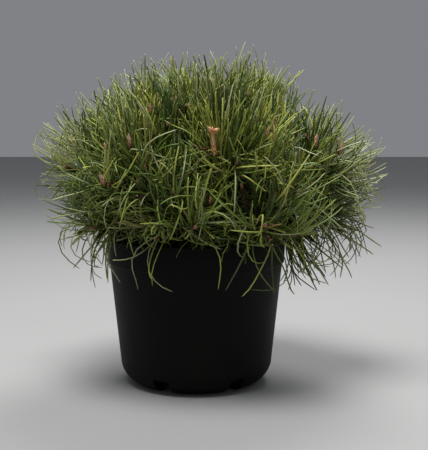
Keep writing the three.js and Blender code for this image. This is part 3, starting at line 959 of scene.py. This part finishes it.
for mass in masses:
    mass["front"] = mass["name"] in FRONT_MASSES
    mass["seeking"] = (mass["rise"] - LEVEL_RISE) * LIGHT_SEEKING + FRONT_SEEKING * mass["front"]
    up, root = UP * mass["seeking"], mass["centre"]
    leader_bud = SHOOT_BUD if any(name == mass["name"] for name, _ in CANDLES) else LEADER_BUD
    for k, tip in enumerate(shoots_of(mass)):
        key, way, length = (mass["name"], k), unit(tip - root), np.linalg.norm(tip - root)
        arrival = way + up + UP * CANDLE_SEEKING * (key in CANDLES)
        kind = {"bare": key in BARE_SHOOTS, "in_photo": key in BARE_SHOOTS or key in CANDLES}
        kind["bud"] = CANDLES.get(key, SHOOT_BUD if k else leader_bud)
        tip = tip + CANDLE_ASIDE.get(key, 0)
        shoot = add_spray(mass, root, tip, arrival, SHOOT_RADIUS, mass["number"] * 100 + k, **kind)
        if not shoot["bare"]:
            add_side_twigs(shoot, k, way, length, up)
    add_inner_twigs(mass, up)
print(len(sprays), "sprays, of which", sum(s["bud"] > TWIG_BUD for s in sprays), "are shoots")

stem_radii = np.array([STEM_RADIUS, SHOOT_RADIUS])
lines = [(np.array([mass["bough"][-1], mass["centre"]]), stem_radii) for mass in masses]
for spray in sprays:
    share = np.linspace(0, 1 - 0.7 * spray["bud"] / spray["length"], 6)
    lines.append((bow(*spray["line"], share), spray["radius"] * (1 - 0.3 * share)))
add_limbs("twigs", lines, twig_skin, 7, 2.4, 1.6, 0.5)

# %% [markdown]
# ## Needles
#
# Mugo pine needles grow in pairs. Each pair leaves the shoot from a small sheath, low ones at a wide angle
# and high ones nearly in line with the shoot. Most are stiff and bend a little towards the light. Low on the
# plant some are lax: they hang in a long arc or roll right up.
#
# The crown looks trimmed, though no one cuts it. Its top is level, its underside rises outwards from the
# rim like a cone, and the masses round it reach equally far. So a needle that would pass these limits, or
# the container, or the free air in front of a candle, is pressed closer to its shoot, and left out if that
# doesn't help. The limits differ from needle to needle, which keeps the outline loose.

# %% Limits of the crown
POT_CLEAR = 1.5
PROUD = 5.0  # how far foliage may stand out of the CAD model's box
UNDERSIDE, UNDERSIDE_START = 0.85, 30  # its slope, and how far beyond a mass's middle it begins
LONG_CANDLE = 20  # and more
CANDLE_AIR = (2.6, 5.5)  # half the width of the free air before a short candle and a long one
AIR_DEPTH, AIR_MARGIN = 50, 2
BARE_LENGTH = 24  # of the bare shoot, that is kept in view
FRONT = np.array([0.0, -1.0, 0.0])


def in_the_way(points):
    """Whether points are in the container or the compost, or outside the CAD model's box."""
    radius, height = np.hypot(points[..., 0], points[..., 1]), points[..., 2]
    clear = (radius > RIM_RADIUS + POT_CLEAR) | (height > POT_HEIGHT + POT_CLEAR)
    within = (radius < RIM_RADIUS - POT_WALL - POT_CLEAR) & (height > COMPOST_MIDDLE + POT_CLEAR)
    beyond = np.any((points < cad_low - PROUD) | (points > cad_high + PROUD), axis=-1)
    return ~(clear | within) | beyond


def above_underside(tips, centre, level):
    """Whether needle tips stay above the cone that the cushion's underside makes outside the rim."""
    start = np.hypot(centre[0], centre[1]) + UNDERSIDE_START
    return tips[:, 2] > level + UNDERSIDE * np.maximum(0, np.hypot(tips[:, 0], tips[:, 1]) - start)


candle_airs = []
for spray in sprays:
    if spray["bud"] > SHOOT_BUD or spray["bare"]:
        _, middle, last = spray["line"]
        foot = last - unit(last - middle) * (BARE_LENGTH if spray["bare"] else spray["bud"])
        outward = FRONT if spray["in_photo"] else unit(last * (1, 1, 0))
        candle_airs.append((foot, last, outward, CANDLE_AIR[spray["bud"] > LONG_CANDLE or spray["bare"]]))


def before_a_candle(points):
    """Whether needles cross the free air that a candle has on the side that it shows."""
    crossed = np.zeros(len(points), bool)
    for foot, tip, outward, half_air in candle_airs:
        away = points - foot
        beside = np.abs(away @ np.cross(UP, outward)) < half_air
        level = (away[..., 2] > -AIR_MARGIN) & (away[..., 2] < tip[2] - foot[2] + AIR_MARGIN)
        ahead = (away @ outward > AIR_MARGIN) & (away @ outward < AIR_DEPTH)
        crossed |= (beside & level & ahead).any(axis=1)
    return crossed


# %% Sizes of needles
# By whorl: millimetres of limb for each pair, reach from the middle of a mass to its furthest needle tips,
# how strongly level needles sink and all of them seek the light, and the share that are lax
BY_WHORL = {
    "low": (1.7, 100, 0.4, 0.4, 0.38),
    "mid": (1.9, 104, 0.3, 0.45, 0.2),
    "high": (2.4, 106, 0.1, 0.35, 0.1),
}
FIRST_PAIR, FIRST_PAIR_BARE, LAST_PAIR = 0.12, 0.8, 0.74  # as shares of a spray's length
OPEN_ANGLE, CLOSE_ANGLE, SKEW = 48, 10, 6  # degrees
PAIR_GAP = (5, 16)  # degrees between the two needles of a pair
NEEDLE_LENGTH, NEEDLE_LENGTHS = 66, (0.8, 1.12)
LONG_BOUGH = 55  # the foliage of a longer bough is vigorous, and flatter on top, by so much a millimetre
LONGER_REACH, LONGER_NEEDLES, FLATTER = 0.003, 0.005, 1.15
NEEDLES_SEEKING = 0.7  # how far needles turn up, as a share of what their shoot does
TOP_LEVEL, TOP_SPREAD, TOP_SLOPE = 322, 42, 0.08  # few needle tips are higher than the crown's level top
SKIRT_LEVEL = (POT_HEIGHT - 22, POT_HEIGHT + 10)  # where the underside begins, needle by needle
STRAYS = (0.26, 0.7)  # share of straight needles that may reach below it, and of lax ones
FRONT_STRAYS = (0.0, 0.75)  # the same at the front, where only those that leave sideways may
SIDEWAYS = 0.6
WITHIN, WITHIN_SPREAD = 1.05, 0.34  # how near to its mass's reach a tip may come, and how that varies
LAX_WITHIN, LAX_WITHIN_FRONT = 0.95, 1.05
PRESSINGS = (1, 0.72, 0.45, 0.2)  # shares of the opening angle, tried one after another
SHORTENED = (1, 1, 0.92, 0.8)  # and of the length
LAX_BELOW = 235  # millimetres above the floor
LAX_LENGTHS = (0.95, 1.4)
LAX_TURN, LAX_TURN_SPREAD = 0.6, 2.4  # radians
CURLED_SHARE, CURLED_BELOW = 0.12, 0.55  # of the lax ones, that roll up, and of those on the underside
CURLED_TURN, CURLED_SIZE = (4.0, 6.4), 0.55
BLADE_SHARES = np.array([0, 0.14, 0.28, 0.42, 0.56, 0.7, 0.84, 0.96, 1.0])


def centre_lines(root, heading, aside, length, turn, curl):
    """Points and directions along needles, walked in short steps so that the length stays true. Each bends
    towards `aside` by `turn` radians in all, and by `curl` one way and back again on its way."""
    points, ways = [root], [heading]
    for low, high in zip(BLADE_SHARES, BLADE_SHARES[1:]):
        middle = (low + high) / 2
        angle = turn * middle + curl * np.sin(2 * np.pi * middle)
        way = heading * np.cos(angle)[:, None] + aside * np.sin(angle)[:, None]
        points.append(points[-1] + way * (length * (high - low))[:, None])
        ways.append(way)
    return np.stack(points, 1), np.stack(ways, 1)


# %% Needles of a spray
def needles_of(spray):
    """The needles of one spray as arrays: points, directions, aside, heading, root, and which are lax."""
    rng, mass = spray["rng"], spray["mass"]
    centre = mass["centre"]
    spacing, reach, sink, rise, lax_share = BY_WHORL[mass["whorl"]]
    low = FIRST_PAIR_BARE if spray["bare"] else FIRST_PAIR
    high = LAST_PAIR - 0.5 * spray["bud"] / spray["length"]
    pairs = max(4, round(spray["length"] * (high - low) / spacing))
    order = (np.arange(pairs) + rng.uniform(0.2, 0.8, pairs)) / pairs
    share = low + (high - low) * order
    first, middle, last = spray["line"]
    root = bow(first, middle, last, share)
    lax = (rng.uniform(0, 1, pairs) < lax_share) & (root[:, 2] < LAX_BELOW)
    along = unit((1 - share)[:, None] * (middle - first) + share[:, None] * (last - middle))
    along = unit(along + UP * (mass["seeking"] * NEEDLES_SEEKING * ~lax)[:, None])
    azimuth = GOLDEN_ANGLE * np.arange(pairs) + rng.uniform(-12, 12, pairs)
    side = turned_by(unit(np.cross(along, UP + 0.01)), along, azimuth[:, None])
    across = np.cross(along, side)
    opened = OPEN_ANGLE + (CLOSE_ANGLE - OPEN_ANGLE) * order + rng.uniform(-9, 9, pairs)
    long_bough = max(0, mass["reach"] - LONG_BOUGH)
    vigour = rng.uniform(0.9, 1.08) * (1 + long_bough * LONGER_NEEDLES)
    reach *= rng.uniform(0.86, 1) * (1 + long_bough * LONGER_REACH)
    length = NEEDLE_LENGTH * vigour * rng.uniform(*NEEDLE_LENGTHS, pairs) * (1 - 0.12 * order**3)
    apart = rng.uniform(*PAIR_GAP, pairs)
    strays = FRONT_STRAYS if mass["front"] else STRAYS
    lax_within = LAX_WITHIN_FRONT if mass["front"] else LAX_WITHIN
    kept = []
    for twin in (-0.5, 0.5):
        waiting = np.ones(pairs, bool)
        skew = rng.normal(0, SKEW, pairs)
        stray = rng.uniform(0, 1, pairs) < np.where(lax, strays[1], strays[0])
        curled = lax & (rng.uniform(0, 1, pairs) < np.where(side[:, 2] < -0.3, CURLED_BELOW, CURLED_SHARE))
        size = length * np.where(lax, rng.uniform(*LAX_LENGTHS, pairs), 1) * np.where(curled, CURLED_SIZE, 1)
        within = reach * np.where(lax, lax_within, WITHIN - WITHIN_SPREAD * rng.uniform(0, 1, pairs))
        skirt = rng.uniform(*SKIRT_LEVEL, pairs)
        top = TOP_LEVEL + TOP_SPREAD * rng.uniform(0, 1, pairs) ** 2.8
        for pressing, shortened in zip(PRESSINGS, SHORTENED):
            angle = np.radians(opened * pressing)[:, None]
            heading = along * np.cos(angle) + side * np.sin(angle)
            heading = turned_by(heading, side, (twin * apart + skew)[:, None])
            hang = np.where(lax, 2.0, sink) * np.clip(0.5 - heading[:, 2], 0, 1)
            stray_way = across * (rng.normal(0, 0.25, pairs) * np.where(lax, 7, 1.7))[:, None]
            wish = along * 0.5 + UP * (np.where(lax, 0, rise) - hang)[:, None] + stray_way
            aside = wish - heading * np.sum(wish * heading, axis=-1, keepdims=True)
            turn = np.linalg.norm(aside, axis=-1) * rng.uniform(0.6, 1.6, pairs)
            turn = np.where(lax, LAX_TURN + LAX_TURN_SPREAD * rng.uniform(0, 1, pairs) ** 1.4, turn)
            turn = np.where(curled, rng.uniform(*CURLED_TURN, pairs), turn)
            curl = rng.normal(0, 1, pairs) * np.where(lax, 0.5, 0.15)
            points, ways = centre_lines(root, heading, unit(aside), size * shortened, turn, curl)
            halfway = (points[:, 2:] + points[:, 1:-1]) / 2
            touching = in_the_way(np.concatenate([points[:, 2:], halfway], axis=1)).any(axis=1)
            tips = points[:, -1]
            flatter = long_bough * FLATTER * np.clip((tips - centre)[:, 2] / reach, 0, 1) ** 2
            sideways = np.abs(heading @ unit(centre * (1, 1, 0))) < (SIDEWAYS if mass["front"] else 1)
            good = ~touching & ~before_a_candle(points)
            good &= np.linalg.norm(tips - centre, axis=-1) < within - flatter
            good &= tips[:, 2] - TOP_SLOPE * tips[:, 0] < top
            good &= (stray & sideways) | above_underside(tips, centre, skirt)
            take = waiting & good
            kept.append([values[take] for values in (points, ways, unit(aside), heading, root, lax)])
            waiting &= ~good
    return [np.concatenate(parts) for parts in zip(*kept)]


# %% From lines to blades
BLADE_WIDTHS = np.array([0.75, 1, 1, 1, 1, 1, 0.95, 0.7])
BLADE_SIDES = 3
NEEDLE_HALF_WIDTH = 0.92
NEEDLE_THICKNESS = 0.6  # of its half width


def repeated(points, pattern):
    """Plain lists of points and triangles for many small things with the same pattern of triangles."""
    count, each = points.shape[:2]
    faces = pattern[None] + (np.arange(count) * each)[:, None, None]
    return points.reshape(-1, 3), faces.reshape(-1, 3)


def blades(lines, ways, aside, roll):
    """Points and triangles of needles. Each is a three-sided blade with a pointed tip."""
    flat = unit(np.cross(ways[:, 0], aside))
    rings = []
    for k, width in enumerate(BLADE_WIDTHS):
        inward = np.cross(flat, ways[:, k])
        for j in range(BLADE_SIDES):
            angle = roll + 2 * np.pi * j / BLADE_SIDES
            offset = np.cos(angle)[:, None] * flat + np.sin(angle)[:, None] * inward * NEEDLE_THICKNESS
            rings.append(lines[:, k] + offset * NEEDLE_HALF_WIDTH * width)
    last = len(rings) - BLADE_SIDES
    tip = [(last + k, last + (k + 1) % BLADE_SIDES, len(rings)) for k in range(BLADE_SIDES)]
    pattern = np.concatenate([ring_faces(len(BLADE_WIDTHS), BLADE_SIDES), tip, [(0, 2, 1)]])
    return repeated(np.stack([*rings, lines[:, -1]], 1), pattern)


# %% [markdown]
# A spray's shade depends on how high its tip is: high ones are fresh and painted lighter, and low ones are
# painted darker as painted shade. The dice are loaded by that height, and one throw gives the whole spray
# its
# shade. Then single needles are changed: lax ones have odds of their own, those that stand out furthest are
# painted pale as painted rim light, and a very few are dead.

# %% Shades by spray
# Painted shade: low sprays draw mostly the summer and deep greens, high ones the fresh and spring greens
ODDS_HIGH_FRESH_PAINTED_LIT = np.array([0.4, 0.32, 0.16, 0.06, 0.0, 0.06, 0.0])
ODDS_LOW_PAINTED_SHADE = np.array([0.02, 0.08, 0.31, 0.54, 0.0, 0.05, 0.0])
LAX_ODDS = np.array([0.16, 0.22, 0.3, 0.14, 0.18, 0, 0])
SHADE_LOW, SHADE_HIGH = 170, 310
PAINTED_RIM_LIGHT, DEAD = (list(NEEDLE_SHADES).index(shade) for shade in ("bloomed_needle", "dead_needle"))
# Painted rim light: needles whose tips stand furthest out from the crown's heart are painted pale
RIM_LIGHT_SHARE, DEAD_SHARE = 0.7, 0.006
RIM_LIGHT_NEAR = 0.82  # how far out, as a share of the way from the crown's heart to its outline
CROWN_HEART = np.array([11.0, 0.0, 190.0])
CROWN_REACH = np.array([187.0, 230.0, 166.0])


def shades_of(spray, tips, lax):
    """The number of each needle's shade."""
    rng, spray_tip = spray["rng"], spray["line"][-1]
    high = np.clip((spray_tip[2] - SHADE_LOW) / (SHADE_HIGH - SHADE_LOW), 0, 1)
    odds = ODDS_HIGH_FRESH_PAINTED_LIT * high + ODDS_LOW_PAINTED_SHADE * (1 - high)
    shades = np.full(len(tips), rng.choice(len(odds), p=odds / odds.sum()))
    shades[lax] = rng.choice(len(odds), lax.sum(), p=LAX_ODDS)
    out = np.linalg.norm((tips - CROWN_HEART) / CROWN_REACH, axis=1)
    furthest = np.clip((out - RIM_LIGHT_NEAR) / (1 - RIM_LIGHT_NEAR), 0, 1)
    shades[rng.uniform(0, 1, len(tips)) < RIM_LIGHT_SHARE * furthest] = PAINTED_RIM_LIGHT
    shades[(rng.uniform(0, 1, len(tips)) < DEAD_SHARE) & ~lax] = DEAD
    return shades


# %% Grow the foliage
sheaths = []
for mass in masses:
    parts, first = [], 0
    for spray in (spray for spray in sprays if spray["mass"] is mass):
        lines, ways, aside, heading, root, lax = needles_of(spray)
        if not len(root):
            continue
        points, faces = blades(lines, ways, aside, spray["rng"].uniform(0, 2 * np.pi, len(root)))
        shades = shades_of(spray, lines[:, -1], lax)
        parts.append((points, faces + first, np.repeat(shades, len(faces) // len(root))))
        first += len(points)
        sheaths.append((root[::2], heading[::2]))
    points, faces, shades = (np.concatenate(part) for part in zip(*parts))
    mesh = mesh_of(f"foliage_{mass['name']}", points, faces, needle_skins, shades)
    add_piece(mesh.name, mesh, "needles", f"needles_{mass['name']}")

# %% [markdown]
# ## Sheaths and buds
#
# A sheath is a small brown cone round the foot of a pair. There are thousands and each is a few pixels
# at most, so four triangles are enough, and arrays make them all at once.

# %% Sheaths
SHEATH_LENGTH, SHEATH_RADIUS = 7, 1.15

root, heading = (np.concatenate(part) for part in zip(*sheaths))
side = unit(np.cross(heading, UP + 0.01))
other = np.cross(heading, side)
corners = [
    root + SHEATH_RADIUS * (np.cos(a) * side + np.sin(a) * other) for a in np.radians([0, 120, 240])
]
points = np.stack([*corners, root + heading * SHEATH_LENGTH], 1)
points, faces = repeated(points, np.array([(0, 1, 3), (1, 2, 3), (2, 0, 3), (0, 2, 1)]))
add_piece("needle_sheaths", mesh_of("needle_sheaths", points, faces, [sheath_skin]), "bark")

# %% [markdown]
# A bud is a spiral of scales over a core, like a small cone. One tree lays the scales by the golden angle,
# outward-leaning at the foot and closing over the tip, and puts a copy on every spray that bears one. Swell
# sets how thick the bud is, Bluntness how full it stays towards its tip and Flake how big its scales are,
# so the same tree makes round buds and the even column of a candle.

# %% Bud tree
buds = GrowthTree("buds", Scales=int, Swell=float, Bluntness=float, Flake=float)
count, swell, size = (buds.given(label) for label in ("Scales", "Swell", "Flake"))
spiral = buds.node("GeometryNodeMeshLine", {"mode": "OFFSET"}, {"Count": count, "Offset": (0, 0, 0)})
index = buds.node("GeometryNodeInputIndex")
share = (index + 0.5) / count
spiral = buds.store(spiral, "scale_place", share)
around = index * np.radians(GOLDEN_ANGLE)
across, aside = around.circle()
bulge = (1.0 - share ** buds.given("Bluntness")) ** 0.5 * swell
spiral = buds.moved(spiral, Position=buds.vector(across * bulge, aside * bulge, share * 0.86))
cone = {"Vertices": 6, "Radius Top": 0.0, "Radius Bottom": 0.5, "Depth": 1.0}
flake = buds.node("GeometryNodeMeshCone", inputs=cone)
flake = buds.resized(flake, buds.vector(size * 0.2, size * 0.5, size))
tilt = buds.vector(0.0, (1.0 - share) * 0.16 - share**3 * 0.75, around)
core = buds.node("GeometryNodeMeshUVSphere", inputs={"Segments": 8, "Rings": 6, "Radius": 1.0})
core = buds.resized(core, buds.vector(swell, swell, 0.5), (0, 0, 0.42))
one_bud = buds.node("GeometryNodeJoinGeometry")
for part in (buds.copies(spiral, flake, tilt), buds.store(core, "scale_place", 0.2)):
    buds.tree.links.new(part.socket, one_bud.socket.node.inputs[0])
way = {"Vector": buds.named("way", "FLOAT_VECTOR")}
facing = buds.node("FunctionNodeAlignRotationToVector", {"axis": "Z"}, way)
buds.close(buds.copies(buds.given("Geometry"), one_bud, facing, buds.named("bud_size")))

# %% Buds on the sprays
# The long candle's side buds: how they lean away from it, how far up it they sit, and their lengths
SIDE_BUDS = [
    (np.array([1.15, -0.3, 0.0]), 0.8, 7.0),
    (np.array([-0.5, -0.2, 0.0]), 0.84, 6.5),
    (np.array([0.1, 0.9, 0.0]), 0.82, 6.0),
]


def grow_buds(name, placed_buds, skin, scales, swell, bluntness, flake):
    """One piece of all buds of a kind. Each has the place of its foot, its direction and its length."""
    spots, ways, sizes = zip(*placed_buds)
    carrier = carrier_of(spots, way=ways, bud_size=np.array(sizes) * MM)
    shape = {"Scales": scales, "Swell": swell, "Bluntness": bluntness, "Flake": flake}
    mesh = buds.grow(carrier, name, Skin=skin, **shape)
    mesh.shade_smooth()
    add_piece(name, mesh, "bark")


def buds_at_tips(smallest, largest):
    found = []
    for spray in sprays:
        if smallest < spray["bud"] <= largest:
            size = spray["bud"] * spray["rng"].uniform(0.9, 1.1)
            _, middle, last = spray["line"]
            way = unit(last - middle)
            found.append((last - way * size, way, size))
    return found


long_candles = buds_at_tips(LONG_CANDLE, np.inf)
side_buds = [
    (foot + way * size * up_candle + lean, unit(way + lean), bud_size)
    for foot, way, size in long_candles
    for lean, up_candle, bud_size in SIDE_BUDS
]
grow_buds("buds", buds_at_tips(0, SHOOT_BUD), bud_skin, 20, 0.27, 2.6, 0.34)
grow_buds("short_candles", buds_at_tips(SHOOT_BUD, LONG_CANDLE), young_skin, 44, 0.15, 4.5, 0.2)
grow_buds("long_candle", long_candles, candle_skin_painted_light, 90, 0.08, 9.0, 0.12)
grow_buds("candle_buds", side_buds, candle_skin_painted_light, 20, 0.32, 2.6, 0.34)
